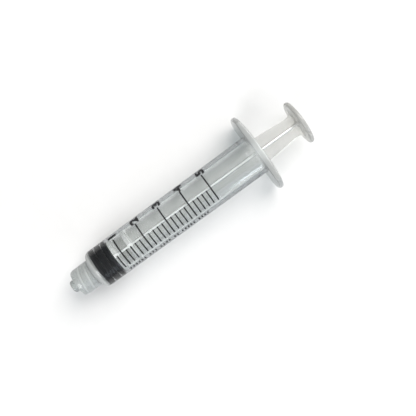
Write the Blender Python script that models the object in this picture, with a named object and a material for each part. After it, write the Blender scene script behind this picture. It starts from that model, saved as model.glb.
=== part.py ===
"""Oral syringe, 5 mL: a clear barrel with a locking collar, a ribbed plunger rod and a black rubber stopper.

The syringe lies along X on one flat edge of its finger flange, with its nozzle at -X and its plunger pushed
fully in. The origin is under the middle of its length, on the surface that it lies on. Every shape is built
in syringe coordinates: a station is the distance from the nozzle's end along the axis, and a radius is the
distance from the axis.
"""

import math

import bmesh
import bpy

MM = 0.001

# Whole syringe
LENGTH = 93.6 * MM
AXIS_HEIGHT = 8.0 * MM  # the flange's flats are this far from the axis
SIDES = 48  # facets round every turned shape, in step on all of them
RUN_GAP = 0.3 * MM  # between pieces that meet face to face
SEAL_GAP = 0.06 * MM  # between the stopper's ribs and the bore
SHARP_ANGLE = 30.0  # degrees; steeper edges than this stay crisp
CORNER_STEPS = 3  # facets over a small rounded edge

# Barrel
BORE_RADIUS = 6.0 * MM
BARREL_FRONT_RADIUS = 6.75 * MM
BARREL_REAR_RADIUS = 7.0 * MM
SHOULDER_START = 9.1 * MM
SHOULDER_END = 11.3 * MM
SHOULDER_SMALL_RADIUS = 4.95 * MM
FLANGE_FRONT = 74.47 * MM
FLANGE_EDGE_THICKNESS = 1.7 * MM
FLANGE_REAR = 76.87 * MM
FLANGE_RADIUS = 14.05 * MM
FLANGE_CORNER = 0.6 * MM
FLANGE_FILLET = 0.35 * MM  # where the barrel meets the flange's front
MOUTH_RADIUS = 6.3 * MM
MOUTH_LAND = 1.2 * MM  # the flat ring round the mouth
MOUTH_CHAMFER = 0.3 * MM
RETENTION_STATION = 72.15 * MM
RETENTION_HEIGHT = 0.15 * MM
RETENTION_HALF_WIDTH = 0.2 * MM
RETENTION_RAMP = 0.35 * MM
BORE_CONE_STATION = 9.6 * MM  # where the inner cone meets the nozzle's own bore
BORE_CONE_SLOPE = 0.27
BORE_CORNER = 0.5 * MM  # where the inner cone meets the bore
BORE_CORNER_STEPS = 3
BORE_CORNER_END = 165.0  # degrees, where the rounded corner runs into the cone
SHOULDER_STEPS = 5

# Nozzle and locking collar
NOZZLE_RADIUS = 2.15 * MM
NOZZLE_TAPER = 0.03  # a 6 % taper on the diameter
NOZZLE_BORE_RADIUS = 1.05 * MM
NOZZLE_CORNER = 0.75 * MM
NOZZLE_CORNER_STEPS = 3
COLLAR_RIM = 2.1 * MM
COLLAR_FLOOR = 8.4 * MM
COLLAR_RADIUS = 4.73 * MM
COLLAR_INNER_RADIUS = 3.95 * MM
COLLAR_CORNER_RADIAL = 0.5 * MM
COLLAR_CORNER_AXIAL = 2.0 * MM
COLLAR_CORNER_STEPS = 4
COLLAR_NECK = 0.2 * MM  # from the collar's plain wall to the start of the shoulder

# Two-start thread inside the collar
THREAD_STARTS = 2
THREAD_LEAD = 5.0 * MM
THREAD_CREST_RADIUS = 3.6 * MM
THREAD_CREST_WIDTH = 0.35 * MM
THREAD_ROOT_WIDTH = 1.0 * MM
THREAD_FIRST = 3.2 * MM
THREAD_LAST = 7.6 * MM
THREAD_STEPS_PER_TURN = 24
THREAD_START_ANGLE = 4.0  # degrees

# Stopper
SEAL_FRONT = 11.35 * MM
SEAL_REAR = 17.5 * MM
SEAL_RADIUS = BORE_RADIUS - SEAL_GAP
SEAL_GROOVE_RADIUS = 5.5 * MM
SEAL_RIBS = ((SEAL_FRONT, 12.75 * MM), (13.75 * MM, 15.0 * MM), (16.5 * MM, SEAL_REAR))
SEAL_RIB_ROUND = 0.25 * MM
SEAL_CONE_EDGE = 0.35 * MM  # from the cone's rim in to where the cone begins
SOCKET_MOUTH_RADIUS = 2.8 * MM
SOCKET_RADIUS = 3.6 * MM
SOCKET_LIP = 1.1 * MM
SOCKET_END = 13.4 * MM
HEAD_CHAMFER_AXIAL = 0.8 * MM
HEAD_CHAMFER_RADIAL = 1.3 * MM

# Plunger rod
DISC_RADIUS = 5.7 * MM
FRONT_DISC_THICKNESS = 1.5 * MM
FRONT_DISC_BOSS_LENGTH = 0.8 * MM
FRONT_DISC_BOSS_RADIUS = 2.0 * MM
GUIDE_DISC_START = 23.3 * MM
GUIDE_DISC_THICKNESS = 1.4 * MM
RIB_THICKNESS = 0.8 * MM
RIB_INNER_RADIUS = 5.55 * MM  # all along the barrel
RIB_STEP_START = 74.6 * MM
RIB_STEP_END = 75.3 * MM
RIB_OUTER_RADIUS = 4.85 * MM  # where the rod leaves the barrel
RIB_REAR_RADIUS = 3.6 * MM
RIB_FLARE_START = 89.4 * MM
RIB_FLARE_RADIUS = 5.6 * MM
RIB_FLARE_THICKNESS = 3.0 * RIB_THICKNESS
RIB_FLARE_STEPS = (
    (1.1 * MM, 0.25 * MM, 1.15 * RIB_THICKNESS),
    (1.9 * MM, 1.0 * MM, 1.6 * RIB_THICKNESS),
)  # distance past the flare's start, added radius, thickness
RIB_EMBED = 0.3 * MM  # the ribs reach this far into the discs at their ends
THUMB_FRONT = 91.67 * MM
THUMB_EDGE_THICKNESS = 1.5 * MM
THUMB_RADIUS = 7.95 * MM
THUMB_FLAT_RADIUS = 4.0 * MM
THUMB_CORNER = 0.55 * MM
HEAD_NECK_RADIUS = SOCKET_MOUTH_RADIUS - RUN_GAP
HEAD_RADIUS = SOCKET_RADIUS - RUN_GAP

# Finishes: colour, roughness and how solid the plastic looks
BARREL_FINISH = ((0.80, 0.83, 0.83), 0.18, 0.4)
ROD_FINISH = ((0.84, 0.86, 0.85), 0.25, 0.6)
RUBBER_FINISH = ((0.012, 0.013, 0.016), 0.35, 1.0)


def clear_scene():
    for old in list(bpy.data.objects):
        bpy.data.objects.remove(old, do_unlink=True)


def plastic(name, finish):
    """A plain Principled material with no metal in it."""
    color, roughness, alpha = finish
    material = bpy.data.materials.new(name)
    material.use_nodes = True
    shader = material.node_tree.nodes["Principled BSDF"]
    shader.inputs["Base Color"].default_value = (*color, 1.0)
    shader.inputs["Roughness"].default_value = roughness
    shader.inputs["Metallic"].default_value = 0.0
    shader.inputs["Alpha"].default_value = alpha
    return material


def arc(center, radial, axial, start, end, steps):
    """Points (station, radius) on an ellipse, at angles in degrees from the +station direction."""
    points = []
    for step in range(steps + 1):
        angle = math.radians(start + (end - start) * step / steps)
        points.append((center[0] + axial * math.cos(angle), center[1] + radial * math.sin(angle)))
    return points


def new_object(name, bm, material=None):
    """The bmesh as an object whose origin is the nozzle's end, on the syringe's axis."""
    bmesh.ops.recalc_face_normals(bm, faces=bm.faces)
    mesh = bpy.data.meshes.new(name)
    bm.to_mesh(mesh)
    bm.free()
    mesh.shade_smooth()
    mesh.set_sharp_from_angle(angle=math.radians(SHARP_ANGLE))
    made = bpy.data.objects.new(name, mesh)
    made.location = (-LENGTH / 2.0, 0.0, AXIS_HEIGHT)
    if material:
        mesh.materials.append(material)
    bpy.context.scene.collection.objects.link(made)
    return made


def turned(profile, closed):
    """A bmesh turned from (station, radius) points round the X axis; a radius of 0 makes a pole."""
    bm = bmesh.new()
    rings = []
    for station, radius in profile:
        if radius == 0.0:
            rings.append([bm.verts.new((station, 0.0, 0.0))])
            continue
        ring = []
        for side in range(SIDES):
            angle = 2.0 * math.pi * side / SIDES
            ring.append(bm.verts.new((station, radius * math.cos(angle), radius * math.sin(angle))))
        rings.append(ring)
    pairs = list(zip(rings, rings[1:]))
    if closed:
        pairs.append((rings[-1], rings[0]))
    for first, second in pairs:
        join_rings(bm, first, second)
    return bm


def join_rings(bm, first, second):
    for side in range(SIDES):
        after = (side + 1) % SIDES
        if len(first) == 1:
            bm.faces.new((first[0], second[side], second[after]))
        elif len(second) == 1:
            bm.faces.new((first[side], second[0], first[after]))
        else:
            bm.faces.new((first[side], second[side], second[after], first[after]))


def unite(target, helper):
    """Joins a hidden helper shape to the target with a Boolean that stays on it."""
    helper.hide_render = True
    helper.display_type = "WIRE"
    union = target.modifiers.new(f"join {helper.name}", "BOOLEAN")
    union.operation = "UNION"
    union.solver = "EXACT"
    union.object = helper


def nozzle_radius(station):
    return NOZZLE_RADIUS + NOZZLE_TAPER * station


def bore_cone_station(radius):
    """The station of the bore's conical front end at a radius."""
    return BORE_CONE_STATION + BORE_CONE_SLOPE * (radius - NOZZLE_BORE_RADIUS)


def nozzle_and_collar_profile():
    """From the nozzle's bore at its end, over the nozzle and the collar, to the barrel's shoulder."""
    corner = (NOZZLE_CORNER, NOZZLE_RADIUS - NOZZLE_CORNER)
    points = [(0.0, NOZZLE_BORE_RADIUS)]
    points += arc(corner, NOZZLE_CORNER, NOZZLE_CORNER, 180.0, 90.0, NOZZLE_CORNER_STEPS)
    points += [(COLLAR_FLOOR, nozzle_radius(COLLAR_FLOOR)), (COLLAR_FLOOR, COLLAR_INNER_RADIUS)]
    points.append((COLLAR_RIM, COLLAR_INNER_RADIUS))
    rim_corner = (COLLAR_RIM + COLLAR_CORNER_AXIAL, COLLAR_RADIUS - COLLAR_CORNER_RADIAL)
    points += arc(
        rim_corner, COLLAR_CORNER_RADIAL, COLLAR_CORNER_AXIAL, 180.0, 90.0, COLLAR_CORNER_STEPS
    )
    points.append((SHOULDER_START - COLLAR_NECK, COLLAR_RADIUS))
    shoulder_center = (SHOULDER_END, SHOULDER_SMALL_RADIUS)
    shoulder_radial = BARREL_FRONT_RADIUS - SHOULDER_SMALL_RADIUS
    shoulder_axial = SHOULDER_END - SHOULDER_START
    points += arc(shoulder_center, shoulder_radial, shoulder_axial, 180.0, 90.0, SHOULDER_STEPS)
    return points


def rounded_edge(front, rear, rim, corner):
    """Round the rim of a plate: its front corner, then its rear corner."""
    points = arc((front + corner, rim), corner, corner, 180.0, 90.0, CORNER_STEPS)
    points += arc((rear - corner, rim), corner, corner, 90.0, 0.0, CORNER_STEPS)
    return points


def flange_profile():
    """Up the flange's front face, round its edge and down its crowned rear face to the mouth."""
    fillet_center = (FLANGE_FRONT - FLANGE_FILLET, BARREL_REAR_RADIUS + FLANGE_FILLET)
    points = arc(fillet_center, FLANGE_FILLET, FLANGE_FILLET, 270.0, 360.0, CORNER_STEPS)
    edge_rear = FLANGE_FRONT + FLANGE_EDGE_THICKNESS
    rim = FLANGE_RADIUS - FLANGE_CORNER
    points += rounded_edge(FLANGE_FRONT, edge_rear, rim, FLANGE_CORNER)
    points.append((FLANGE_REAR, MOUTH_RADIUS + MOUTH_LAND))
    points.append((FLANGE_REAR, MOUTH_RADIUS + MOUTH_CHAMFER))
    points.append((FLANGE_REAR - MOUTH_CHAMFER, MOUTH_RADIUS))
    return points


def bore_profile():
    """From the mouth over the retention ring and down the bore to the nozzle's own bore."""
    ring_radius = BORE_RADIUS - RETENTION_HEIGHT
    points = [
        (RETENTION_STATION + RETENTION_HALF_WIDTH + RETENTION_RAMP, BORE_RADIUS),
        (RETENTION_STATION + RETENTION_HALF_WIDTH, ring_radius),
        (RETENTION_STATION - RETENTION_HALF_WIDTH, ring_radius),
        (RETENTION_STATION - RETENTION_HALF_WIDTH - RETENTION_RAMP, BORE_RADIUS),
    ]
    corner_center = (bore_cone_station(BORE_RADIUS) + BORE_CORNER, BORE_RADIUS - BORE_CORNER)
    points += arc(
        corner_center, BORE_CORNER, BORE_CORNER, 90.0, BORE_CORNER_END, BORE_CORNER_STEPS
    )
    points.append((BORE_CONE_STATION, NOZZLE_BORE_RADIUS))
    return points


def cut_flats(bm):
    """Cuts the round flange to its two flats, above and below the barrel."""
    for side in (1.0, -1.0):
        whole = bm.verts[:] + bm.edges[:] + bm.faces[:]
        plane = (0.0, 0.0, side * AXIS_HEIGHT)
        cut = bmesh.ops.bisect_plane(
            bm, geom=whole, dist=1e-7, plane_co=plane, plane_no=(0.0, 0.0, side), clear_outer=True
        )
        rim = [item for item in cut["geom_cut"] if isinstance(item, bmesh.types.BMEdge)]
        bmesh.ops.edgeloop_fill(bm, edges=rim)


def thread_ridge(start_angle):
    """One helical ridge on the collar's inner wall, its root sunk into the wall."""
    sunk_radius = (COLLAR_INNER_RADIUS + COLLAR_RADIUS) / 2.0
    section = (
        (-THREAD_CREST_WIDTH / 2.0, THREAD_CREST_RADIUS),
        (THREAD_CREST_WIDTH / 2.0, THREAD_CREST_RADIUS),
        (THREAD_ROOT_WIDTH / 2.0, sunk_radius),
        (-THREAD_ROOT_WIDTH / 2.0, sunk_radius),
    )
    turns = (THREAD_LAST - THREAD_FIRST) / THREAD_LEAD
    steps = round(turns * THREAD_STEPS_PER_TURN)
    bm = bmesh.new()
    rings = []
    for step in range(steps + 1):
        share = step / steps
        angle = start_angle - 2.0 * math.pi * turns * share
        middle = THREAD_FIRST + (THREAD_LAST - THREAD_FIRST) * share
        ring = []
        for offset, radius in section:
            place = (middle + offset, radius * math.cos(angle), radius * math.sin(angle))
            ring.append(bm.verts.new(place))
        rings.append(ring)
    for first, second in zip(rings, rings[1:]):
        for corner in range(4):
            after = (corner + 1) % 4
            bm.faces.new((first[corner], second[corner], second[after], first[after]))
    bm.faces.new(rings[0])
    bm.faces.new(rings[-1])
    return bm


def make_barrel(material):
    profile = nozzle_and_collar_profile() + flange_profile() + bore_profile()
    bm = turned(profile, closed=True)
    cut_flats(bm)
    barrel = new_object("barrel", bm, material)
    for start in range(THREAD_STARTS):
        angle = 2.0 * math.pi * start / THREAD_STARTS + math.radians(THREAD_START_ANGLE)
        unite(barrel, new_object(f"thread {start + 1}", thread_ridge(angle)))
    return barrel


def stopper_outline():
    """The stopper's cone and ribs, from its tip to the edge of its rear face."""
    face_radius = SEAL_RADIUS - SEAL_RIB_ROUND
    points = [(bore_cone_station(0.0) + RUN_GAP, 0.0)]
    cone_radius = face_radius - SEAL_CONE_EDGE
    points.append((bore_cone_station(cone_radius) + RUN_GAP, cone_radius))
    for index, (start, end) in enumerate(SEAL_RIBS):
        if index:
            points.append((start - SEAL_RIB_ROUND, SEAL_GROOVE_RADIUS))
        points += [(start, face_radius), (start + SEAL_RIB_ROUND, SEAL_RADIUS)]
        points += [(end - SEAL_RIB_ROUND, SEAL_RADIUS), (end, face_radius)]
        if index < len(SEAL_RIBS) - 1:
            points.append((end + SEAL_RIB_ROUND, SEAL_GROOVE_RADIUS))
    return points


def make_stopper(material):
    points = stopper_outline()
    points += [(SEAL_REAR, SOCKET_MOUTH_RADIUS), (SEAL_REAR - SOCKET_LIP, SOCKET_MOUTH_RADIUS)]
    points += [(SEAL_REAR - SOCKET_LIP, SOCKET_RADIUS), (SOCKET_END + HEAD_CHAMFER_AXIAL, SOCKET_RADIUS)]
    points += [(SOCKET_END, SOCKET_RADIUS - HEAD_CHAMFER_RADIAL), (SOCKET_END, 0.0)]
    return new_object("stopper", turned(points, closed=False), material)


def rod_front():
    """The mushroom head, its neck and the front disc that pushes on the stopper."""
    disc_front = SEAL_REAR + RUN_GAP
    disc_rear = disc_front + FRONT_DISC_THICKNESS
    head_end = SOCKET_END + RUN_GAP
    head_rear = SEAL_REAR - SOCKET_LIP - RUN_GAP
    points = [(head_end, 0.0), (head_end, HEAD_RADIUS - HEAD_CHAMFER_RADIAL)]
    points.append((head_end + HEAD_CHAMFER_AXIAL, HEAD_RADIUS))
    points += [(head_rear, HEAD_RADIUS), (head_rear, HEAD_NECK_RADIUS), (disc_front, HEAD_NECK_RADIUS)]
    boss_end = disc_rear + FRONT_DISC_BOSS_LENGTH
    points += [(disc_front, DISC_RADIUS), (disc_rear, DISC_RADIUS)]
    points += [(boss_end, FRONT_DISC_BOSS_RADIUS), (boss_end, 0.0)]
    return turned(points, closed=False)


def guide_disc():
    end = GUIDE_DISC_START + GUIDE_DISC_THICKNESS
    points = [(GUIDE_DISC_START, 0.0), (GUIDE_DISC_START, DISC_RADIUS), (end, DISC_RADIUS), (end, 0.0)]
    return turned(points, closed=False)


def thumb_rest():
    """A round plate with rounded edges and a rear face that rises to a flat middle."""
    rim = THUMB_RADIUS - THUMB_CORNER
    edge_rear = THUMB_FRONT + THUMB_EDGE_THICKNESS
    points = [(THUMB_FRONT, 0.0)]
    points += rounded_edge(THUMB_FRONT, edge_rear, rim, THUMB_CORNER)
    points += [(LENGTH, THUMB_FLAT_RADIUS), (LENGTH, 0.0)]
    return turned(points, closed=False)


def rib_sections():
    """(station, rib radius, rib thickness) along the rod, flaring into the thumb rest."""
    sections = [
        (SEAL_REAR + RUN_GAP + RIB_EMBED, RIB_INNER_RADIUS, RIB_THICKNESS),
        (RIB_STEP_START, RIB_INNER_RADIUS, RIB_THICKNESS),
        (RIB_STEP_END, RIB_OUTER_RADIUS, RIB_THICKNESS),
        (RIB_FLARE_START, RIB_REAR_RADIUS, RIB_THICKNESS),
    ]
    for distance, added_radius, thickness in RIB_FLARE_STEPS:
        sections.append((RIB_FLARE_START + distance, RIB_REAR_RADIUS + added_radius, thickness))
    sections.append((THUMB_FRONT + RIB_EMBED, RIB_FLARE_RADIUS, RIB_FLARE_THICKNESS))
    return sections


def cross_outline(radius, thickness):
    """The twelve corners of a cross, as (y, z)."""
    half = thickness / 2.0
    corners = []
    for quarter in range(4):
        angle = math.pi / 2.0 * quarter
        along = (math.cos(angle), math.sin(angle))
        across = (-along[1], along[0])
        for reach, side in ((radius, -half), (radius, half), (half, half)):
            corners.append((along[0] * reach + across[0] * side, along[1] * reach + across[1] * side))
    return corners


def ribs():
    """The four ribs as one lofted cross."""
    bm = bmesh.new()
    rings = []
    for station, radius, thickness in rib_sections():
        outline = cross_outline(radius, thickness)
        rings.append([bm.verts.new((station, y, z)) for y, z in outline])
    count = len(rings[0])
    for first, second in zip(rings, rings[1:]):
        for corner in range(count):
            after = (corner + 1) % count
            bm.faces.new((first[corner], second[corner], second[after], first[after]))
    bm.faces.new(rings[0])
    bm.faces.new(rings[-1])
    return bm


def make_plunger_rod(material):
    rod = new_object("plunger_rod", ribs(), material)
    unite(rod, new_object("rod front", rod_front()))
    unite(rod, new_object("guide disc", guide_disc()))
    unite(rod, new_object("thumb rest", thumb_rest()))
    return rod


def main():
    clear_scene()
    make_barrel(plastic("clear_barrel", BARREL_FINISH))
    make_stopper(plastic("black_rubber", RUBBER_FINISH))
    make_plunger_rod(plastic("clear_rod", ROD_FINISH))


main()
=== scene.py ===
"""The looks of the 5 mL oral syringe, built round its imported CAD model.

Shapes are made in syringe coordinates: a station is the distance from the nozzle's end along the axis, and a
radius is the distance from the axis. Angles go round the axis from +Y towards +Z. All lengths are in metres.
"""

import math

import bmesh
import bpy
import numpy as np
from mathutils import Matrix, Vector


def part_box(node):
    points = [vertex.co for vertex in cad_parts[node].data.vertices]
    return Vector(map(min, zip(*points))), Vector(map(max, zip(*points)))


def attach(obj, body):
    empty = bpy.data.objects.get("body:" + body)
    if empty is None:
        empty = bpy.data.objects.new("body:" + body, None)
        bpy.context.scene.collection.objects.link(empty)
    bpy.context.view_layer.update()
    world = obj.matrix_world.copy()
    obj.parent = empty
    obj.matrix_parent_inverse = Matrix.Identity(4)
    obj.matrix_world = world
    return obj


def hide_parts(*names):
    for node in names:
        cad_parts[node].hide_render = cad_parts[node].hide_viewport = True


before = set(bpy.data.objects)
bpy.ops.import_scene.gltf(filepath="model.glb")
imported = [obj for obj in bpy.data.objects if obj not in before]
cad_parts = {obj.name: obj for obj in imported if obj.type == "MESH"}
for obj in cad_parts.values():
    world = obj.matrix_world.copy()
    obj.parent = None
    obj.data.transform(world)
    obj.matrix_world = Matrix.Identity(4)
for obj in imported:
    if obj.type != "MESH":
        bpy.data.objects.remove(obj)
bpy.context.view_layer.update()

MM = 0.001

# Places read from the CAD
barrel_low, barrel_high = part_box("barrel")
rod_low, rod_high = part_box("plunger_rod")
stopper_low, stopper_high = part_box("stopper")
NOZZLE_END = barrel_low.x
AXIS_HEIGHT = (barrel_low.z + barrel_high.z) / 2.0
FLAT_REACH = barrel_high.z - AXIS_HEIGHT
FLANGE_RADIUS = barrel_high.y
FLANGE_REAR = barrel_high.x - NOZZLE_END
THUMB_REAR = rod_high.x - NOZZLE_END
THUMB_RADIUS = rod_high.y
HEAD_FRONT = rod_low.x - NOZZLE_END
STOPPER_TIP = stopper_low.x - NOZZLE_END
STOPPER_REAR = stopper_high.x - NOZZLE_END

# Barrel
BORE_RADIUS = 6.0 * MM
BARREL_FRONT_RADIUS = 6.75 * MM
BARREL_REAR_RADIUS = 7.0 * MM
SHOULDER_START = 9.1 * MM
SHOULDER_END = 11.3 * MM
SHOULDER_SMALL_RADIUS = 4.95 * MM
FLANGE_EDGE_THICKNESS = 1.7 * MM
FLANGE_FRONT = FLANGE_REAR - 2.4 * MM
FLANGE_CORNER = 0.7 * MM
FLANGE_FILLET = 0.4 * MM
FLANGE_CORNER_POWER = 70.0  # how crisply the disc meets its flats
FLANGE_CROWN_POWER = 1.25
MOUTH_RADIUS = 6.3 * MM
MOUTH_LAND = 1.2 * MM
MOUTH_CHAMFER = 0.25 * MM
RETENTION_STATION = 72.15 * MM
RETENTION_HEIGHT = 0.06 * MM
RETENTION_REACH = 0.55 * MM  # half of its length along the bore
BORE_CONE_STATION = 9.6 * MM
BORE_CONE_SLOPE = 0.27
BORE_CORNER = 0.5 * MM
BORE_THROAT = 0.25 * MM  # the rounded corner where the cone runs into the nozzle's bore

# Nozzle and locking collar
NOZZLE_RADIUS = 2.15 * MM
NOZZLE_TAPER = 0.03
NOZZLE_BORE_RADIUS = 1.05 * MM
NOZZLE_BORE_CHAMFER = (0.12 * MM, 0.1 * MM)  # along the axis and out from it
NOZZLE_CORNER = 0.75 * MM
COLLAR_RIM = 2.1 * MM
COLLAR_LIP = 0.12 * MM
COLLAR_FLOOR = 8.4 * MM
COLLAR_FLOOR_FILLET = 0.3 * MM
COLLAR_ROOT_FILLET = 0.22 * MM
COLLAR_RADIUS = 4.73 * MM
COLLAR_INNER_RADIUS = 3.95 * MM
COLLAR_CORNER_RADIAL = 0.66 * MM
COLLAR_CORNER_AXIAL = 2.0 * MM
THREAD_STARTS = 2
THREAD_LEAD = 5.0 * MM
THREAD_HEIGHT = 0.35 * MM
THREAD_CREST_WIDTH = 0.35 * MM
THREAD_ROOT_WIDTH = 1.0 * MM
THREAD_FIRST = 3.2 * MM
THREAD_LAST = 7.6 * MM
THREAD_START_ANGLE = math.radians(4.0)

# Stopper: its ribs press into the bore, so the black shows with no air in front of it
SEAL_PRESS = 0.02 * MM
SEAL_RIBS = ((11.2 * MM, 13.15 * MM), (13.4 * MM, 15.6 * MM), (15.85 * MM, STOPPER_REAR))
SEAL_GROOVE_RADIUS = 5.7 * MM
SEAL_RIB_ROUND = 0.15 * MM
STOPPER_CONE_RADIUS = BORE_RADIUS - 0.55 * MM
STOPPER_TIP_RADIUS = 0.8 * MM
SOCKET_CLEARANCE = 0.3 * MM

# Plunger rod
DISC_RADIUS = 5.75 * MM
DISC_ROUND = 0.2 * MM
FRONT_DISC = (17.8 * MM, 19.3 * MM)
GUIDE_DISC = (23.3 * MM, 24.7 * MM)
RIB_ROOT_THICKNESS = 0.7 * MM
RIB_TIP_THICKNESS = 0.62 * MM
RIB_FILLET = 0.45 * MM
RIB_END_FILLET = 0.35 * MM
RIB_EDGE_ROUND = 0.3 * MM
RIB_INNER_RADIUS = 5.55 * MM
RIB_STEP = (74.6 * MM, 75.3 * MM)
RIB_OUTER_RADIUS = 4.85 * MM
RIB_REAR_RADIUS = 3.6 * MM
RIB_FLARE_START = 89.4 * MM
RIB_FLARE_RADIUS = 5.6 * MM
THUMB_FRONT = 91.67 * MM
THUMB_EDGE_THICKNESS = 1.5 * MM
THUMB_FLAT_RADIUS = 4.0 * MM
THUMB_CORNER = 0.65 * MM
GATE_ANGLE = math.radians(131.0)  # the nick on the rim where the mould fed it
GATE_WIDTH = math.radians(3.0)
GATE_DEPTH = 0.35 * MM
HEAD_REAR = STOPPER_REAR - 1.4 * MM
HEAD_RADIUS = 3.3 * MM
HEAD_NOSE_RADIUS = 0.7 * MM
HEAD_CHAMFER = (0.8 * MM, 1.3 * MM)  # along the axis and out from it
HEAD_NECK_RADIUS = 2.5 * MM

# Printed scale
ZERO_STATION = 11.83 * MM
MILLILITRE = 8.842 * MM
INK_THICKNESS = 0.02 * MM
TENTHS_PRINTED = range(0, 51, 2)
LONG_LINE = (-47.0, 44.0, 0.52 * MM)  # start and end angle in degrees from the top, and width
SHORT_LINE = (-46.0, -2.0, 0.46 * MM)
FIGURE_HEIGHT = 3.15 * MM
FIGURE_STRETCH = 1.7
FIGURE_ANGLE = 58.5  # of its middle, in degrees from the top
DASH = (-70.0, -59.0, 0.55 * MM)
DASH_ROW_START = 19.8 * MM
DASH_PITCH = 1.15 * MM
DASH_GAP = 0.9 * MM
DASH_WORDS = (6, 3, 4, 2, 5, 4)  # dashes in each word of the row

# Camera, straight above the syringe
CAMERA_STATION = 51.57 * MM
CAMERA_ASIDE = -5.1 * MM
CAMERA_RISE = 240.9 * MM  # above the axis
CAMERA_TURN = math.radians(-36.17)
CAMERA_LENS = 63.1  # on a sensor 36 wide

ROUND_STEPS = 256  # points round the barrel and the stopper


# ---------------------------------------------------------------------------------------------------------
# Mesh helpers


def arc(center, axial, radial, start, end, steps):
    """Points (station, radius) on an ellipse, at angles in degrees from the +station direction."""
    points = []
    for angle in np.radians(np.linspace(start, end, steps + 1)):
        points.append((center[0] + axial * math.cos(angle), center[1] + radial * math.sin(angle)))
    return points


def new_piece(name, bm, material, sharp_angle=40.0):
    """The bmesh as an object in syringe coordinates, shaded smooth with crisp edges."""
    bmesh.ops.recalc_face_normals(bm, faces=bm.faces)
    mesh = bpy.data.meshes.new(name)
    bm.to_mesh(mesh)
    bm.free()
    mesh.shade_smooth()
    mesh.set_sharp_from_angle(angle=math.radians(sharp_angle))
    mesh.materials.append(material)
    piece = bpy.data.objects.new(name, mesh)
    piece.location = (NOZZLE_END, 0.0, AXIS_HEIGHT)
    bpy.context.scene.collection.objects.link(piece)
    return piece


def skin(rings, closed=False):
    """A bmesh over a row of rings with the same number of points; a ring of one point is a pole."""
    bm = bmesh.new()
    made = []
    for points in rings:
        made.append([bm.verts.new(point) for point in points])
    pairs = list(zip(made, made[1:]))
    if closed:
        pairs.append((made[-1], made[0]))
    for first, second in pairs:
        count = max(len(first), len(second))
        for i in range(count):
            j = (i + 1) % count
            if len(first) == 1:
                bm.faces.new((first[0], second[i], second[j]))
            elif len(second) == 1:
                bm.faces.new((first[i], second[0], first[j]))
            else:
                bm.faces.new((first[i], second[i], second[j], first[j]))
    return bm


ANGLES = np.linspace(0.0, 2.0 * math.pi, ROUND_STEPS, endpoint=False)


def ring(station, radius):
    """One ring round the axis; the station and the radius may change with the angle."""
    if np.isscalar(radius) and radius == 0.0:
        return [(station, 0.0, 0.0)]
    station = np.broadcast_to(station, ANGLES.shape)
    return np.column_stack((station, radius * np.cos(ANGLES), radius * np.sin(ANGLES)))


def smooth_step(value):
    """Eases from 0 to 1 as the value goes from 0 to 1, and stays there outside."""
    value = np.clip(value, 0.0, 1.0)
    return value * value * (3.0 - 2.0 * value)


# ---------------------------------------------------------------------------------------------------------
# Barrel


def nozzle_radius(station):
    """The nozzle widens towards the collar's floor."""
    return NOZZLE_RADIUS + NOZZLE_TAPER * station


def bore_cone_station(radius):
    """Where the shallow cone at the bore's front end has a given radius."""
    return BORE_CONE_STATION + BORE_CONE_SLOPE * (radius - NOZZLE_BORE_RADIUS)


def thread_ridge(station, angles=ANGLES):
    """How far the two-start thread stands out of the collar's wall at each angle of one ring."""
    pitch = THREAD_LEAD / THREAD_STARTS
    center = THREAD_LEAD * (THREAD_START_ANGLE - angles) / (2.0 * math.pi)
    offset = (station - THREAD_FIRST - center + pitch / 2.0) % pitch - pitch / 2.0
    flank = (THREAD_ROOT_WIDTH - THREAD_CREST_WIDTH) / 2.0
    ridge = smooth_step((THREAD_ROOT_WIDTH / 2.0 - np.abs(offset)) / flank)
    run_in = smooth_step((station - THREAD_FIRST + flank) / (2.0 * flank))
    run_out = smooth_step((THREAD_LAST + flank - station) / (2.0 * flank))
    return THREAD_HEIGHT * ridge * run_in * run_out


def nozzle_rings():
    """From the nozzle's bore over its rounded end and down to the collar's floor."""
    chamfer_depth, chamfer_width = NOZZLE_BORE_CHAMFER
    rings = [ring(chamfer_depth, NOZZLE_BORE_RADIUS), ring(0.0, NOZZLE_BORE_RADIUS + chamfer_width)]
    corner = (NOZZLE_CORNER, NOZZLE_RADIUS - NOZZLE_CORNER)
    rings += [ring(x, r) for x, r in arc(corner, NOZZLE_CORNER, NOZZLE_CORNER, 180.0, 90.0, 8)]
    root = COLLAR_FLOOR_FILLET
    for station in np.linspace(1.6 * NOZZLE_CORNER, COLLAR_FLOOR - root, 12):
        rings.append(ring(station, nozzle_radius(station)))
    foot = (COLLAR_FLOOR - root, nozzle_radius(COLLAR_FLOOR) + root)
    rings += [ring(x, r) for x, r in arc(foot, root, root, 270.0, 360.0, 6)[1:]]
    return rings


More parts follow.
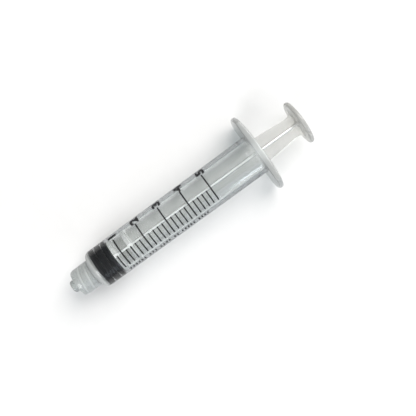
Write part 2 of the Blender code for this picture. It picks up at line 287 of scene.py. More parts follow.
def collar_rings():
    """From the collar's floor out along its threaded wall, round its rim and back to the shoulder."""
    root = COLLAR_FLOOR_FILLET
    foot = (COLLAR_FLOOR - root, COLLAR_INNER_RADIUS - root)
    rings = [ring(x, r) for x, r in arc(foot, root, root, 0.0, 90.0, 6)]
    lip = COLLAR_LIP
    for station in np.linspace(COLLAR_FLOOR - root, COLLAR_RIM + lip, 56)[1:]:
        rings.append(ring(station, COLLAR_INNER_RADIUS - thread_ridge(station)))
    inner_lip = (COLLAR_RIM + lip, COLLAR_INNER_RADIUS + lip)
    rings += [ring(x, r) for x, r in arc(inner_lip, lip, lip, 270.0, 180.0, 4)[1:]]
    rim = (COLLAR_RIM + COLLAR_CORNER_AXIAL, COLLAR_RADIUS - COLLAR_CORNER_RADIAL)
    bend = arc(rim, COLLAR_CORNER_AXIAL, COLLAR_CORNER_RADIAL, 180.0, 90.0, 14)
    rings += [ring(x, r) for x, r in bend]
    hollow = COLLAR_ROOT_FILLET
    for station in np.linspace(rim[0], SHOULDER_START - hollow, 24)[1:]:
        rings.append(ring(station, COLLAR_RADIUS))
    neck = (SHOULDER_START - hollow, COLLAR_RADIUS + hollow)
    rings += [ring(x, r) for x, r in arc(neck, hollow, hollow, 270.0, 360.0, 5)[1:]]
    return rings


def outer_radius(station):
    """The barrel's draft makes it a little wider towards the flange."""
    share = (station - SHOULDER_END) / (FLANGE_FRONT - SHOULDER_END)
    return BARREL_FRONT_RADIUS + (BARREL_REAR_RADIUS - BARREL_FRONT_RADIUS) * share


def barrel_wall_rings():
    """Over the rounded shoulder and along the wall to the foot of the flange."""
    center = (SHOULDER_END, SHOULDER_SMALL_RADIUS)
    radial = BARREL_FRONT_RADIUS - SHOULDER_SMALL_RADIUS
    bend = arc(center, SHOULDER_END - SHOULDER_START, radial, 180.0, 90.0, 18)
    rings = [ring(x, r) for x, r in bend]
    for station in np.linspace(SHOULDER_END, FLANGE_FRONT - FLANGE_FILLET, 64)[1:]:
        rings.append(ring(station, outer_radius(station)))
    foot = (FLANGE_FRONT - FLANGE_FILLET, BARREL_REAR_RADIUS + FLANGE_FILLET)
    rings += [ring(x, r) for x, r in arc(foot, FLANGE_FILLET, FLANGE_FILLET, 270.0, 360.0, 6)[1:]]
    return rings


def flange_reach():
    """The flange's radius at each angle: a disc cut by two flats."""
    flats = FLAT_REACH / np.maximum(np.abs(np.sin(ANGLES)), 1e-6)
    ratio = (FLANGE_RADIUS / flats) ** FLANGE_CORNER_POWER
    return FLANGE_RADIUS * (1.0 + ratio) ** (-1.0 / FLANGE_CORNER_POWER)


def flange_rings():
    """Up the flange's front face, round its edge and down its crowned rear face to the mouth."""
    reach = flange_reach()
    root = BARREL_REAR_RADIUS + FLANGE_FILLET
    land = MOUTH_RADIUS + MOUTH_LAND
    crown = FLANGE_REAR - FLANGE_FRONT - FLANGE_EDGE_THICKNESS

    def rear(radius):
        share = np.clip((radius - land) / (FLANGE_RADIUS - land), 0.0, 1.0)
        return FLANGE_REAR - crown * share**FLANGE_CROWN_POWER

    rings = []
    face = reach - FLANGE_CORNER
    for share in (0.04, 0.2, 0.4, 0.6, 0.8, 0.96):
        rings.append(ring(FLANGE_FRONT, root + (face - root) * share))
    steps = np.radians(np.linspace(180.0, 90.0, 7))
    for angle in steps:
        station = FLANGE_FRONT + FLANGE_CORNER * (1.0 + math.cos(angle))
        rings.append(ring(station, face + FLANGE_CORNER * math.sin(angle)))
    for angle in steps - math.pi / 2.0:
        station = rear(face) - FLANGE_CORNER * (1.0 - math.cos(angle))
        rings.append(ring(station, face + FLANGE_CORNER * math.sin(angle)))
    for share in (0.04, 0.15, 0.3, 0.45, 0.6, 0.75, 0.9, 1.0):
        radius = face + (land - face) * share
        rings.append(ring(rear(radius), radius))
    corner = (FLANGE_REAR - MOUTH_CHAMFER, MOUTH_RADIUS + MOUTH_CHAMFER)
    bend = arc(corner, MOUTH_CHAMFER, MOUTH_CHAMFER, 360.0, 270.0, 6)
    rings += [ring(x, r) for x, r in bend]
    return rings


def bore_rings():
    """From the mouth over the retention ring and down the bore to the nozzle's own bore."""
    lead_end = RETENTION_STATION + RETENTION_REACH
    rings = []
    for share in (0.2, 0.6, 1.0):
        station = FLANGE_REAR - MOUTH_CHAMFER + (lead_end - FLANGE_REAR + MOUTH_CHAMFER) * share
        rings.append(ring(station, MOUTH_RADIUS + (BORE_RADIUS - MOUTH_RADIUS) * share))
    for share in np.linspace(0.0, 2.0 * math.pi, 13)[1:-1]:
        height = RETENTION_HEIGHT * (1.0 - math.cos(share)) / 2.0
        station = lead_end - 2.0 * RETENTION_REACH * share / (2.0 * math.pi)
        rings.append(ring(station, BORE_RADIUS - height))
    corner = (bore_cone_station(BORE_RADIUS) + BORE_CORNER, BORE_RADIUS - BORE_CORNER)
    for station in np.linspace(RETENTION_STATION - RETENTION_REACH, corner[0], 62):
        rings.append(ring(station, BORE_RADIUS))
    rings += [ring(x, r) for x, r in arc(corner, BORE_CORNER, BORE_CORNER, 90.0, 165.0, 8)[1:]]
    for radius in np.linspace(corner[1], NOZZLE_BORE_RADIUS + BORE_THROAT, 9)[1:]:
        rings.append(ring(bore_cone_station(radius), radius))
    rings.append(ring(BORE_CONE_STATION - 0.6 * BORE_THROAT, NOZZLE_BORE_RADIUS))
    for station in np.linspace(BORE_CONE_STATION - 2.4 * BORE_THROAT, 1.0 * MM, 8):
        rings.append(ring(station, NOZZLE_BORE_RADIUS))
    return rings


def paint(piece, name, rule):
    """Stores one look of the plastic at each point, from 0 to 1, as a rule of station and place."""
    places = np.array([vert.co for vert in piece.data.vertices])
    layer = piece.data.attributes.new(name, "FLOAT", "POINT")
    layer.data.foreach_set("value", np.clip(rule(*places.T), 0.0, 1.0).astype(np.float32))


def between(value, start, end, blend):
    """1 from start to end, fading to 0 over a short blend outside."""
    return smooth_step((value - start + blend) / blend) * smooth_step((end + blend - value) / blend)


def on_flange(station):
    return station > FLANGE_FRONT - 1.0 * MM


def barrel_milk(x, y, z):
    """The thick collar and flange scatter more light than the thin wall between them."""
    blend = 0.5 * MM
    mouth_start = FLANGE_FRONT - 1.6 * MM
    mouth_blend = 1.4 * MM
    collar = smooth_step((SHOULDER_END - x) / blend)
    flange = smooth_step((np.hypot(y, z) - BARREL_REAR_RADIUS) / blend) * on_flange(x)
    mouth = 0.6 * smooth_step((x - mouth_start) / mouth_blend)
    return np.max((collar, flange, mouth), axis=0)


def barrel_frost(x, y, z):
    """Painted highlights: lighter, less clear plastic painted on the flange's edge and faces, in a band at
    the shoulder, in lines over the thread behind the wall and in a band at the retention ring.
    """
    shoulder_width = 1.2 * MM
    edge_width = 0.5 * MM
    bead_reach = 0.4 * MM
    margin = 0.1 * MM
    reach = np.hypot(y, z)
    shoulder = 0.6 * between(x, SHOULDER_START, SHOULDER_START + shoulder_width, 0.5 * MM)
    rim = FLAT_REACH / np.maximum(abs(z) / np.maximum(reach, 1e-9), FLAT_REACH / FLANGE_RADIUS)
    edge = 0.4 * smooth_step((reach - rim + edge_width) / (0.6 * edge_width)) * on_flange(x)
    face = 0.2 * (reach > BARREL_REAR_RADIUS + margin)
    bead = 0.25 * between(x, RETENTION_STATION - bead_reach, RETENTION_STATION + bead_reach, 0.2 * MM)
    bead *= reach < BORE_RADIUS + margin / 2.0
    turns = 0.3 * thread_ridge(x, np.arctan2(z, y)) / THREAD_HEIGHT
    turns *= (reach > COLLAR_RADIUS - COLLAR_CORNER_RADIAL) * (x < SHOULDER_START)
    return np.max((shoulder, edge, face, bead, turns), axis=0)


def make_barrel(material):
    rings = nozzle_rings() + collar_rings() + barrel_wall_rings() + flange_rings() + bore_rings()
    barrel = new_piece("barrel_shell", skin(rings, closed=True), material)
    paint(barrel, "milk", barrel_milk)
    # Painted highlights on the flange, shoulder, thread and retention ring.
    paint(barrel, "painted_highlight", barrel_frost)
    return barrel


# ---------------------------------------------------------------------------------------------------------
# Stopper


def make_stopper(material):
    """A rubber cone with three rounded seal ribs, hollow at the back where it grips the rod."""
    press_radius = BORE_RADIUS + SEAL_PRESS
    points = [(STOPPER_TIP + 0.02 * MM, 0.0), (STOPPER_TIP + 0.05 * MM, STOPPER_TIP_RADIUS / 2.0)]
    clearance = STOPPER_TIP - bore_cone_station(0.0)
    for radius in np.linspace(STOPPER_TIP_RADIUS, STOPPER_CONE_RADIUS, 10):
        points.append((bore_cone_station(radius) + clearance, radius))
    for index, (start, end) in enumerate(SEAL_RIBS):
        low = press_radius - SEAL_RIB_ROUND
        points += arc((start + SEAL_RIB_ROUND, low), SEAL_RIB_ROUND, SEAL_RIB_ROUND, 180.0, 90.0, 6)
        crest = np.linspace(start + SEAL_RIB_ROUND, end - SEAL_RIB_ROUND, 4)[1:-1]
        points += [(station, press_radius) for station in crest]
        points += arc((end - SEAL_RIB_ROUND, low), SEAL_RIB_ROUND, SEAL_RIB_ROUND, 90.0, 0.0, 6)
        if index < len(SEAL_RIBS) - 1:
            depth = low - SEAL_GROOVE_RADIUS
            points += arc((end + depth, low), depth, depth, 180.0, 270.0, 5)[1:]
            after = SEAL_RIBS[index + 1][0] - depth
            points += arc((after, low), depth, depth, 270.0, 360.0, 5)[:-1]
    mouth = HEAD_NECK_RADIUS + SOCKET_CLEARANCE
    chamfer = 0.1 * MM
    points += [(STOPPER_REAR, 5.0 * MM), (STOPPER_REAR, 4.0 * MM), (STOPPER_REAR, mouth + chamfer)]
    socket = HEAD_RADIUS + SOCKET_CLEARANCE
    lip = HEAD_REAR + SOCKET_CLEARANCE
    points += [(STOPPER_REAR - chamfer, mouth), (lip, mouth), (lip, socket)]
    socket_end = HEAD_FRONT - SOCKET_CLEARANCE
    points += [(socket_end + HEAD_CHAMFER[0], socket), (socket_end, socket - HEAD_CHAMFER[1])]
    points.append((socket_end, 0.0))
    return new_piece("rubber_stopper", skin([ring(x, r) for x, r in points]), material)


# ---------------------------------------------------------------------------------------------------------
# Plunger rod


def eighth(radius, thicken=1.0, fillet=RIB_FILLET):
    """Points (along, across) of one eighth of the cross: from a rib's middle line to the diagonal."""
    tip = RIB_TIP_THICKNESS * thicken / 2.0
    root = RIB_ROOT_THICKNESS * thicken / 2.0
    edge = RIB_EDGE_ROUND
    points = [(radius, (tip - edge) * share) for share in (0.0, 0.5)]
    points += arc((radius - edge, tip - edge), edge, edge, 0.0, 90.0, 8)
    side_start = radius - edge * 1.2
    side_end = root + fillet
    first = math.atan2(root, side_start)
    last = math.atan2(root, side_end)
    for share in np.linspace(0.0, 1.0, 16)[:-1]:
        along = root / math.tan(first + (last - first) * share)
        slope = (side_start - along) / (side_start - side_end)
        points.append((along, tip + (root - tip) * slope))
    points += arc((root + fillet, root + fillet), fillet, fillet, 270.0, 225.0, 8)
    return points


def whole_round(points):
    """An eighth, mirrored and turned into all eight, as (along, across) points round the axis."""
    quarter = points + [(across, along) for along, across in reversed(points[:-1])]
    outline = []
    for turn in range(4):
        c, s = ((1, 0), (0, 1), (-1, 0), (0, -1))[turn]
        outline += [(a * c - b * s, a * s + b * c) for a, b in quarter[:-1]]
    return outline


REFERENCE_OUTLINE = whole_round(eighth(RIB_INNER_RADIUS))
DISC_ANGLES = np.array([math.atan2(across, along) for along, across in REFERENCE_OUTLINE])


def cross_ring(station, radius, thicken=1.0, fillet=RIB_FILLET):
    return [(station, a, b) for a, b in whole_round(eighth(radius, thicken, fillet))]


def disc_ring(station, radius):
    radius = np.broadcast_to(radius, DISC_ANGLES.shape)
    station = np.broadcast_to(station, DISC_ANGLES.shape)
    return np.column_stack((station, radius * np.cos(DISC_ANGLES), radius * np.sin(DISC_ANGLES)))


def rib_radius(station):
    """The ribs fill the bore, step in with a round corner at the mouth and taper to the thumb rest."""
    if station < RIB_STEP[0]:
        return RIB_INNER_RADIUS
    if station < RIB_STEP[1]:
        share = (station - RIB_STEP[0]) / (RIB_STEP[1] - RIB_STEP[0])
        drop = 1.0 - math.sqrt(1.0 - share**2)
        return RIB_INNER_RADIUS + (RIB_OUTER_RADIUS - RIB_INNER_RADIUS) * drop
    share = (station - RIB_STEP[1]) / (RIB_FLARE_START - RIB_STEP[1])
    return RIB_OUTER_RADIUS + (RIB_REAR_RADIUS - RIB_OUTER_RADIUS) * share


def disc_edge(front, rear, radius, corner):
    rings = [disc_ring(front, radius - corner * 2.0)]
    bend = arc((front + corner, radius - corner), corner, corner, 180.0, 90.0, 5)
    bend += arc((rear - corner, radius - corner), corner, corner, 90.0, 0.0, 5)
    rings += [disc_ring(x, r) for x, r in bend]
    rings.append(disc_ring(rear, radius - corner * 2.0))
    return rings


def rod_front_rings():
    """The mushroom head, its neck and the front disc."""
    points = [(HEAD_FRONT, HEAD_NOSE_RADIUS), (HEAD_FRONT, HEAD_RADIUS - HEAD_CHAMFER[1])]
    points += [(HEAD_FRONT + HEAD_CHAMFER[0], HEAD_RADIUS), (HEAD_REAR, HEAD_RADIUS)]
    points += [(HEAD_REAR, HEAD_NECK_RADIUS), (FRONT_DISC[0], HEAD_NECK_RADIUS)]
    rings = [[(HEAD_FRONT, 0.0, 0.0)]] + [disc_ring(x, r) for x, r in points]
    return rings + disc_edge(*FRONT_DISC, DISC_RADIUS, DISC_ROUND)


def rib_run(start, end, steps):
    """The cross from one disc to the next, with small fillets where it meets them."""
    root = RIB_END_FILLET
    rings = []
    for share in np.linspace(0.0, 1.0, 5)[:-1]:
        grow = root * (1.0 - math.sin(share * math.pi / 2.0))
        station = start + root * (1.0 - math.cos(share * math.pi / 2.0))
        radius = min(rib_radius(station) + grow, DISC_RADIUS - 0.05 * MM)
        rings.append(cross_ring(station, radius, 1.0 + 2.0 * grow / RIB_ROOT_THICKNESS))
    for station in np.linspace(start + root, end - root, steps):
        rings.append(cross_ring(station, rib_radius(station)))
    return rings


def rod_flare_rings():
    """The ribs spreading into the thumb rest."""
    rings = []
    length = THUMB_FRONT - RIB_FLARE_START
    for share in np.linspace(0.0, 1.0, 13)[1:]:
        spread = 1.0 - math.sqrt(max(0.0, 1.0 - share**2.2))
        radius = RIB_REAR_RADIUS + (RIB_FLARE_RADIUS - RIB_REAR_RADIUS) * spread
        fillet = RIB_FILLET * (1.0 + 1.5 * spread)
        rings.append(cross_ring(RIB_FLARE_START + length * share, radius, 1.0 + 1.4 * spread, fillet))
    return rings


def thumb_rings():
    """A round plate with rounded edges and a rear face that rises to a flat middle."""
    edge_rear = THUMB_FRONT + THUMB_EDGE_THICKNESS
    rim = THUMB_RADIUS - THUMB_CORNER
    front_face = np.linspace(RIB_FLARE_RADIUS + 0.25 * MM, rim - 0.1 * MM, 4)
    rings = [disc_ring(THUMB_FRONT, r) for r in front_face]
    bend = arc((THUMB_FRONT + THUMB_CORNER, rim), THUMB_CORNER, THUMB_CORNER, 180.0, 90.0, 6)
    bend += arc((edge_rear - THUMB_CORNER, rim), THUMB_CORNER, THUMB_CORNER, 90.0, 0.0, 6)
    away = np.angle(np.exp(1j * (DISC_ANGLES - GATE_ANGLE))) / GATE_WIDTH
    gate = GATE_DEPTH * np.exp(-away**2)
    rings += [disc_ring(x, r - gate) for x, r in bend]
    rise = THUMB_REAR - edge_rear
    for share in np.linspace(0.0, 1.0, 9)[1:]:
        radius = rim + (THUMB_FLAT_RADIUS - rim) * share
        rings.append(disc_ring(edge_rear + rise * math.sin(share * math.pi / 2.0), radius))
    rings += [disc_ring(THUMB_REAR, r) for r in (2.6 * MM, 1.2 * MM)]
    rings.append([(THUMB_REAR, 0.0, 0.0)])
    return rings


def rod_milk(x, y, z):
    """The stem and the thumb rest are milky, and painted shade makes each rib in the bore greyer towards its
    outer edge.
    """
    root = 0.2 * MM
    tip = 5.0 * MM
    stem_blend = 1.5 * MM
    # Painted shade: each rib in the bore is painted greyer and less clear towards its outer edge.
    painted_tip_shade = 0.85 * smooth_step((np.hypot(y, z) - root) / (tip - root)) * (x > FRONT_DISC[0])
    stem = smooth_step((x - RIB_STEP[0]) / stem_blend)
    return np.maximum(painted_tip_shade, stem)


def rod_frost(x, y, z):
    """Painted highlights: lighter, less clear plastic painted along the ribs' rounded edges and on the
    discs.
    """
    depth_in_bore = 0.45 * MM
    depth_on_stem = 0.12 * MM
    ribs = np.array([rib_radius(station) for station in x])
    depth = np.where(x < RIB_STEP[0], depth_in_bore, depth_on_stem)
    edges = smooth_step((np.hypot(y, z) - ribs + depth) / (0.45 * depth))
    off_disc = smooth_step((0.6 * MM - np.minimum(abs(y), abs(z))) / (0.1 * MM))
    off_flare = smooth_step((RIB_FLARE_START - x) / (1.0 * MM))
    discs = between(x, *FRONT_DISC, 0.2 * MM) + between(x, *GUIDE_DISC, 0.2 * MM)
    return np.maximum(edges * off_disc * off_flare, 0.5 * discs)


def make_plunger(material):
    rings = rod_front_rings()
    rings += rib_run(FRONT_DISC[1], GUIDE_DISC[0], 5)
    rings += disc_edge(*GUIDE_DISC, DISC_RADIUS, DISC_ROUND)
    rings += rib_run(GUIDE_DISC[1], RIB_FLARE_START, 200)
    rings += rod_flare_rings() + thumb_rings()
    plunger = new_piece("plunger", skin(rings), material)
    # On the rod, milk also holds the painted shade towards the outer edge of each rib.
    paint(plunger, "milk", rod_milk)
    # Painted highlights along the rib edges and on the discs.
    paint(plunger, "painted_highlight", rod_frost)
    return plunger


# ---------------------------------------------------------------------------------------------------------
# Printed scale


def wrapped(name, bm, material):
    """Bends flat ink onto the barrel: x is the station, y the distance round it and z the thickness."""
    for vert in bm.verts:
        station, around, lift = vert.co
        radius = outer_radius(station) + lift
        angle = around / outer_radius(station)
        vert.co = (station, radius * math.cos(angle), radius * math.sin(angle))
    return new_piece(name, bm, material, 30.0)


def ink_strip(bm, station, start, end, width):
    """One printed line round the barrel between two angles, in degrees from the top towards +Y."""
    degrees_per_step = 1.5
    tip_width = 0.7
    radius = outer_radius(station)
    around = [radius * math.radians(90.0 - end), radius * math.radians(90.0 - start)]
    steps = max(2, int(abs(end - start) / degrees_per_step))
    tip = width * 0.25
    cuts = [(around[0], tip_width), (around[0] + tip, 1.0)]
    cuts += [(a, 1.0) for a in np.linspace(around[0] + tip, around[1] - tip, steps + 1)[1:]]
    cuts.append((around[1], tip_width))
    rows = []
    for place, share in cuts:
        half = width * share / 2.0
        low, high = -INK_THICKNESS / 2.0, INK_THICKNESS
        corners = ((-half, low), (half, low), (half, high), (-half, high))
        rows.append([bm.verts.new((station + x, place, z)) for x, z in corners])
    for first, second in zip(rows, rows[1:]):
        for i in range(4):
            j = (i + 1) % 4
            bm.faces.new((first[i], second[i], second[j], first[j]))
    bm.faces.new(rows[0])
    bm.faces.new(list(reversed(rows[-1])))


def make_graduations(material):
    bm = bmesh.new()
    for tenth in TENTHS_PRINTED:
        station = ZERO_STATION + MILLILITRE * tenth / 10.0
        ink_strip(bm, station, *(SHORT_LINE if tenth % 10 else LONG_LINE))
    return wrapped("scale_lines", bm, material)


def make_numeral(value, material):
    """A bold figure that reads along the barrel's girth, its top towards the nozzle."""
    curve = bpy.data.curves.new(f"figure {value}", "FONT")
    curve.body = str(value)
    curve.size = 4.0 * MM
    curve.align_x = "CENTER"
    curve.align_y = "CENTER"
    curve.offset = 0.2 * MM
    curve.extrude = INK_THICKNESS * 0.75
    curve.resolution_u = 6
    figure = bpy.data.objects.new(curve.name, curve)
    bpy.context.scene.collection.objects.link(figure)
    graph = bpy.context.evaluated_depsgraph_get()
    bm = bmesh.new()
    bm.from_mesh(figure.evaluated_get(graph).to_mesh())
    bpy.data.objects.remove(figure, do_unlink=True)
    bmesh.ops.remove_doubles(bm, verts=bm.verts, dist=1e-7)
    xs = [vert.co.x for vert in bm.verts]
    ys = [vert.co.y for vert in bm.verts]
    middle = ((min(xs) + max(xs)) / 2.0, (min(ys) + max(ys)) / 2.0)
    tall = FIGURE_HEIGHT / (max(ys) - min(ys))
    wide = tall * FIGURE_STRETCH
    cut_pitch = 0.2 * MM  # close enough for the figure to bend with the barrel
    for cut in np.arange(min(xs), max(xs), cut_pitch)[1:]:
        whole = bm.verts[:] + bm.edges[:] + bm.faces[:]
        place = (cut, 0.0, 0.0)
        bmesh.ops.bisect_plane(bm, geom=whole, dist=1e-8, plane_co=place, plane_no=(1.0, 0.0, 0.0))
    station = ZERO_STATION + MILLILITRE * value
    around = outer_radius(station) * math.radians(90.0 - FIGURE_ANGLE)
    for vert in bm.verts:
        x, y, z = vert.co
        lift = z + INK_THICKNESS * 0.25
        vert.co = (station - tall * (y - middle[1]), around - wide * (x - middle[0]), lift)
    return wrapped(f"scale_figure_{value}", bm, material)


def make_dash_row(material):
    """Plain dashes where a real syringe has its line of small print."""
    bm = bmesh.new()
    station = DASH_ROW_START
    for dashes in DASH_WORDS:
        for _ in range(dashes):
            ink_strip(bm, station, *DASH)
            station += DASH_PITCH
        station += DASH_GAP
    return wrapped("print_row", bm, material)


# ---------------------------------------------------------------------------------------------------------
# Materials


class Surface:
    """A Principled material with short calls for the nodes that drive it."""

    def __init__(self, name):
        self.material = bpy.data.materials.new(name)
        self.material.use_nodes = True
        self.nodes = self.material.node_tree.nodes
        self.links = self.material.node_tree.links
        self.shader = self.nodes["Principled BSDF"]
        self.place = self.nodes.new("ShaderNodeTexCoord").outputs["Object"]

    def set(self, **values):
        """Sets named inputs of the shader to constants."""
        for name, value in values.items():
            self.shader.inputs[name.replace("_", " ")].default_value = value

    def noise(self, size, detail=3.0, roughness=0.55, stretch=(1.0, 1.0, 1.0)):
        """Noise whose features are about size metres across, stretched along any axis."""
        mapping = self.nodes.new("ShaderNodeMapping")
        mapping.inputs["Scale"].default_value = tuple(1.0 / (size * factor) for factor in stretch)
        self.links.new(self.place, mapping.inputs["Vector"])
        noise = self.nodes.new("ShaderNodeTexNoise")
        noise.inputs["Scale"].default_value = 1.0
        noise.inputs["Detail"].default_value = detail
        noise.inputs["Roughness"].default_value = roughness
        self.links.new(mapping.outputs["Vector"], noise.inputs["Vector"])
        return noise.outputs["Fac"]

    def ramp(self, source, low, high, start=0.3, end=0.7):
        """Blends from one colour to another as the source goes from start to end."""
        ramp = self.nodes.new("ShaderNodeValToRGB")
        ramp.color_ramp.elements[0].position = start
        ramp.color_ramp.elements[0].color = (*low, 1.0)
        ramp.color_ramp.elements[1].position = end
        ramp.color_ramp.elements[1].color = (*high, 1.0)
        self.links.new(source, ramp.inputs["Fac"])
        return ramp.outputs["Color"]

    def span(self, source, low, high, start=0.3, end=0.7):
        """Goes from one number to another as the source goes from start to end."""
        node = self.nodes.new("ShaderNodeMapRange")
        for name, value in (("From Min", start), ("From Max", end), ("To Min", low), ("To Max", high)):
            node.inputs[name].default_value = value
        self.links.new(source, node.inputs["Value"])
        return node.outputs["Result"]

    def attribute(self, name):
        node = self.nodes.new("ShaderNodeAttribute")
        node.attribute_name = name
        return node.outputs["Fac"]

    def times(self, first, second):
        node = self.nodes.new("ShaderNodeMath")
        node.operation = "MULTIPLY"
        self.links.new(first, node.inputs[0])
        self.links.new(second, node.inputs[1])
        return node.outputs["Value"]

    def bump(self, source, height, before=None):
        node = self.nodes.new("ShaderNodeBump")
        node.inputs["Strength"].default_value = 1.0
        node.inputs["Distance"].default_value = height
        self.links.new(source, node.inputs["Height"])
        if before:
            self.links.new(before, node.inputs["Normal"])
        return node.outputs["Normal"]

    def blend(self, share, first, second):
        node = self.nodes.new("ShaderNodeMix")
        node.data_type = "RGBA"
        self.links.new(share, node.inputs[0])
        self.links.new(first, node.inputs[6])
        self.links.new(second, node.inputs[7])
        return node.outputs[2]

    def grade(self, milk, painted_highlight, values):
        """A number for thin stretches, milky ones and painted highlights."""
        body = self.span(milk, values[0], values[1], 0.0, 1.0)
        node = self.nodes.new("ShaderNodeMapRange")
        self.links.new(painted_highlight, node.inputs["Value"])
        self.links.new(body, node.inputs["To Min"])
        node.inputs["To Max"].default_value = values[2]
        return node.outputs["Result"]

    def darken_with_depth(self, colour, density):
        """Takes off more light the further it travels inside the solid."""
        node = self.nodes.new("ShaderNodeVolumeAbsorption")
        node.inputs["Color"].default_value = (*colour, 1.0)
        node.inputs["Density"].default_value = density
        self.links.new(node.outputs["Volume"], self.nodes["Material Output"].inputs["Volume"])

    def pass_lamps(self, share):
        """Lets lamps reach what lies behind the plastic, less what each face holds back."""
        clear = self.nodes.new("ShaderNodeBsdfTransparent")
        clear.inputs["Color"].default_value = (share, share, share, 1.0)
        mix = self.nodes.new("ShaderNodeMixShader")
        path = self.nodes.new("ShaderNodeLightPath")
        self.links.new(path.outputs["Is Shadow Ray"], mix.inputs["Fac"])
        self.links.new(self.shader.outputs["BSDF"], mix.inputs[1])
        self.links.new(clear.outputs["BSDF"], mix.inputs[2])
        self.links.new(mix.outputs["Shader"], self.nodes["Material Output"].inputs["Surface"])

    def drive(self, **sources):
        """Links each named input of the shader to what drives it."""
        for name, source in sources.items():
            self.links.new(source, self.shader.inputs[name.replace("_", " ")])


def clear_plastic(
    name, colours, clearness, roughness, depth_colour, depth_density, lamp_share, streak, relief
):
    """Natural polypropylene: see-through, milky where it is thick, with faint flow lines and fine grain.

    Colours, clearness and roughness are for the thin stretches, the milky ones and the painted highlights,
    which are lighter, less clear plastic. On the rod the milky colour is also painted shade towards the
    outer edge of each rib. The depth colour darkens it where light crosses more of it, and the lamp share is
    what each face lets lamps send on. Streak is the share of the colour that is left in the darkest flow
    lines, and relief is the height of the flow lines and of the grain.
    """
    surface = Surface(name)
    milk = surface.attribute("milk")
    # The second attribute marks where a painted highlight of lighter, less clear plastic is laid on.
    painted_highlight = surface.attribute("painted_highlight")
    flow = surface.noise(0.8 * MM, 2.0, stretch=(40.0, 1.0, 1.0))
    cloud = surface.noise(1.2 * MM, 3.0, stretch=(25.0, 1.0, 1.0))
    grain = surface.noise(0.12 * MM, 2.0)
    uneven = surface.span(grain, 0.85, 1.15)
    # The third colour, edge, is the colour of the painted highlights.
    thin, thick, edge = [surface.ramp(cloud, [streak * c for c in colour], colour) for colour in colours]
    rough = surface.grade(milk, painted_highlight, roughness)
    surface.drive(
        Base_Color=surface.blend(painted_highlight, surface.blend(milk, thin, thick), edge),
        Roughness=surface.times(rough, uneven),
        Transmission_Weight=surface.grade(milk, painted_highlight, clearness),
        Normal=surface.bump(flow, relief[0], surface.bump(grain, relief[1])),
    )
    surface.set(IOR=1.49)
    surface.darken_with_depth(depth_colour, depth_density)
    surface.pass_lamps(lamp_share)
    return surface.material


def rubber():
    """Black bromobutyl rubber, softly shiny with silicone oil, with a fine moulded grain."""
    surface = Surface("black rubber")
    grain = surface.noise(0.15 * MM, 4.0)
    film = surface.noise(1.5 * MM, 2.0)
    surface.drive(
        Base_Color=surface.ramp(film, (0.002, 0.002, 0.003), (0.004, 0.005, 0.006)),
        Roughness=surface.span(grain, 0.28, 0.42),
        Normal=surface.bump(grain, 0.004 * MM),
    )
    surface.set(IOR=1.5, Specular_IOR_Level=0.15)
    return surface.material


def ink():
    """Black screen print: flat, with slightly uneven cover."""
    surface = Surface("scale ink")
    cover = surface.noise(0.2 * MM, 3.0)
    surface.drive(
        Base_Color=surface.ramp(cover, (0.008, 0.008, 0.009), (0.022, 0.022, 0.024)),
        Roughness=surface.span(cover, 0.5, 0.7),
    )
    surface.set(Specular_IOR_Level=0.15)
    return surface.material


def paper():
    """The pale matt sheet that the syringe lies on."""
    surface = Surface("pale sweep")
    fibre = surface.noise(4.0 * MM, 3.0)
    surface.drive(
        Base_Color=surface.ramp(fibre, (0.56, 0.56, 0.56), (0.57, 0.57, 0.57)),
        Roughness=surface.span(fibre, 0.75, 0.85),
    )
    surface.set(Specular_IOR_Level=0.2)
    return surface.material


# ---------------------------------------------------------------------------------------------------------
# Studio


def make_floor():
    """A wide sheet, a hair under the flange so that the two faces don't meet."""
    bm = bmesh.new()
    bmesh.ops.create_grid(bm, x_segments=8, y_segments=8, size=1.5)
    mesh = bpy.data.meshes.new("floor")
    bm.to_mesh(mesh)
    bm.free()
    mesh.materials.append(paper())
    floor = bpy.data.objects.new("floor", mesh)
    floor.location = (0.0, 0.0, -0.02 * MM)
    bpy.context.scene.collection.objects.link(floor)


def add_softbox(name, place, size, power, colour=(1.0, 1.0, 1.0), aim=(0.0, 0.0, 0.0)):
    """A soft lamp of a width and a height in metres, turned from its place towards its aim."""
    light = bpy.data.lights.new(name, "AREA")
    light.shape = "RECTANGLE"
    light.size, light.size_y = size
    light.energy = power
    light.color = colour
    softbox = bpy.data.objects.new(name, light)
    softbox.location = place
    direction = Vector(aim) - Vector(place)
    softbox.rotation_euler = direction.to_track_quat("-Z", "Y").to_euler()
    bpy.context.scene.collection.objects.link(softbox)


def make_world(strength, seen_strength):
    """Even light from all round, which the camera sees as a paler wall."""
    world = bpy.data.worlds.new("studio")
    world.use_nodes = True
    nodes = world.node_tree.nodes
    background = nodes["Background"]
    background.inputs["Color"].default_value = (0.97, 0.985, 1.0, 1.0)
    path = nodes.new("ShaderNodeLightPath")
    level = nodes.new("ShaderNodeMapRange")
    level.inputs["To Min"].default_value = strength
    level.inputs["To Max"].default_value = seen_strength
    world.node_tree.links.new(path.outputs["Is Camera Ray"], level.inputs["Value"])
    world.node_tree.links.new(level.outputs["Result"], background.inputs["Strength"])
    bpy.context.scene.world = world


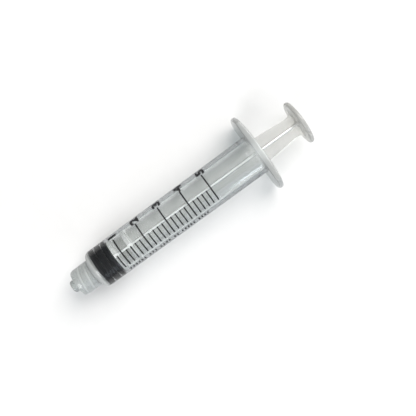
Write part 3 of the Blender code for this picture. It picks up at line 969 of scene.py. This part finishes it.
def make_camera():
    """Straight above the barrel, turned so that the nozzle points down to the left."""
    data = bpy.data.cameras.new("camera")
    data.sensor_width = 36.0
    data.lens = CAMERA_LENS
    data.clip_start = 0.01
    camera = bpy.data.objects.new("camera", data)
    camera.location = (NOZZLE_END + CAMERA_STATION, CAMERA_ASIDE, AXIS_HEIGHT + CAMERA_RISE)
    camera.rotation_euler = (0.0, 0.0, CAMERA_TURN)
    bpy.context.scene.collection.objects.link(camera)
    bpy.context.scene.camera = camera


# ---------------------------------------------------------------------------------------------------------
# The syringe in the studio

barrel = make_barrel(clear_plastic(
    "barrel plastic",
    # Thin wall, milky collar and flange, then the painted highlights.
    colours=((0.985, 0.985, 0.985), (0.58, 0.60, 0.59), (0.78, 0.80, 0.79)),
    clearness=(0.998, 0.70, 0.45),
    roughness=(0.12, 0.16, 0.2),
    depth_colour=(0.56, 0.59, 0.60),
    depth_density=830.0,
    lamp_share=0.97,
    streak=0.97,
    relief=(0.0002 * MM, 0.00005 * MM),
))
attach(barrel, "barrel_body")
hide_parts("barrel")

stopper = make_stopper(rubber())
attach(stopper, "stopper_body")
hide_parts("stopper")

plunger = make_plunger(clear_plastic(
    "rod plastic",
    # Thin ribs, milky stem and thumb rest (also the painted shade towards the rib edges), then the painted
    # highlights.
    colours=((0.88, 0.88, 0.86), (0.57, 0.57, 0.56), (0.90, 0.90, 0.89)),
    clearness=(0.66, 0.55, 0.15),
    roughness=(0.14, 0.25, 0.3),
    depth_colour=(0.60, 0.60, 0.56),
    depth_density=230.0,
    lamp_share=0.95,
    streak=0.88,
    relief=(0.001 * MM, 0.0001 * MM),
))
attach(plunger, "rod_body")
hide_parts("plunger_rod")

scale_ink = ink()
printed = [make_graduations(scale_ink), make_dash_row(scale_ink)]
printed += [make_numeral(value, scale_ink) for value in range(1, 6)]
for piece in printed:
    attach(piece, "barrel_body")

make_floor()
add_softbox("key", (1.00, 0.45, 1.20), (1.4, 1.4), 43.5, (1.0, 0.985, 0.965))
add_softbox("fill", (-0.95, -0.50, 1.00), (0.9, 0.9), 17.0)
add_softbox("window", (0.60, -0.80, 0.16), (1.1, 0.26), 6.5, (0.90, 0.95, 1.0), aim=(0.50, 0.0, 0.0))
add_softbox("sky", (-0.10, -0.95, 0.55), (1.2, 0.55), 1.8, (0.80, 0.90, 1.0))
make_world(strength=0.27, seen_strength=0.8)
make_camera()
bpy.context.scene.view_settings.view_transform = "Standard"
